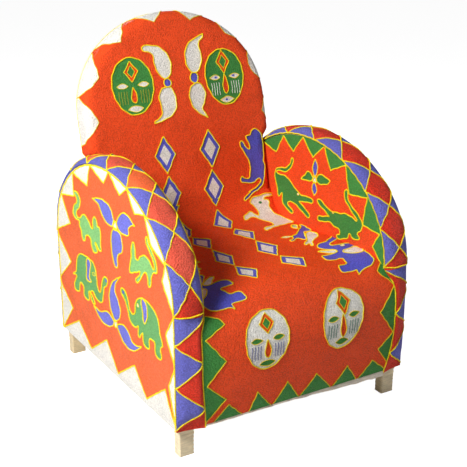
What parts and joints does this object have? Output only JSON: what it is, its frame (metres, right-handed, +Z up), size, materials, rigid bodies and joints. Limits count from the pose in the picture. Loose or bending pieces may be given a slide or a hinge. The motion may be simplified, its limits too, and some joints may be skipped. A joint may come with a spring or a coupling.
{
  "type": "beaded armchair",
  "caption": "Upholstered armchair with an arched reclined back and arched arms, dressed all over in patterned beaded cloth, on short cloth-wrapped legs.",
  "frame": {"origin": "centre of the footprint on the floor", "axes": "+Z up, -Y towards the front of the seat, +X to the right of someone facing the chair's front"},
  "size_m": [0.74, 0.834, 1.0481],
  "materials": {
    "plywood": "bare plywood",
    "plank": "planed bare timber",
    "foam": "open-cell upholstery foam",
    "cream_cloth": "plain woven cotton, slightly soiled",
    "red_beads": "glass seed beads sewn row by row on cloth, orange-red ground with patterns",
    "orange_beads": "glass seed beads sewn row by row on cloth, orange ground with patterns",
    "band_beads": "glass seed beads in blue and red diamonds with yellow lines"
  },
  "bodies": {
    "root": {"back_board": "plywood", "back_cross_bar": "plank", "back_edge_strip": "plywood", "back_front_cover": "red_beads", "back_pad": "foam", "back_rear_cover": "red_beads", "front_hem": "cream_cloth", "front_left_block": "plank", "front_left_leg": "plank", "front_left_leg_lower_peg": "plank", "front_left_leg_sleeve": "cream_cloth", "front_left_leg_upper_peg": "plank", "front_rail": "plank", "front_right_block": "plank", "front_right_leg": "plank", "front_right_leg_lower_peg": "plank", "front_right_leg_sleeve": "cream_cloth", "front_right_leg_upper_peg": "plank", "left_arm_band_cover": "band_beads", "left_arm_band_pad": "foam", "left_arm_edge_strip": "plywood", "left_arm_inner_board": "plywood", "left_arm_inner_cover": "red_beads", "left_arm_outer_board": "plywood", "left_arm_outer_cover": "orange_beads", "left_arm_underside_cloth": "cream_cloth", "left_back_upright": "plank", "left_rear_cleat": "plank", "left_side_rail": "plank", "rear_board": "plywood", "rear_cover": "red_beads", "rear_left_block": "plank", "rear_left_leg": "plank", "rear_left_leg_lower_peg": "plank", "rear_left_leg_sleeve": "cream_cloth", "rear_left_leg_upper_peg": "plank", "rear_rail": "plank", "rear_right_block": "plank", "rear_right_leg": "plank", "rear_right_leg_lower_peg": "plank", "rear_right_leg_sleeve": "cream_cloth", "rear_right_leg_upper_peg": "plank", "right_arm_band_cover": "band_beads", "right_arm_band_pad": "foam", "right_arm_edge_strip": "plywood", "right_arm_inner_board": "plywood", "right_arm_inner_cover": "red_beads", "right_arm_outer_board": "plywood", "right_arm_outer_cover": "orange_beads", "right_arm_underside_cloth": "cream_cloth", "right_back_upright": "plank", "right_rear_cleat": "plank", "right_side_rail": "plank", "seat_cover": "red_beads", "seat_deck": "plywood", "seat_pad": "foam", "underside_cloth": "cream_cloth"}
  },
  "joints": []
}
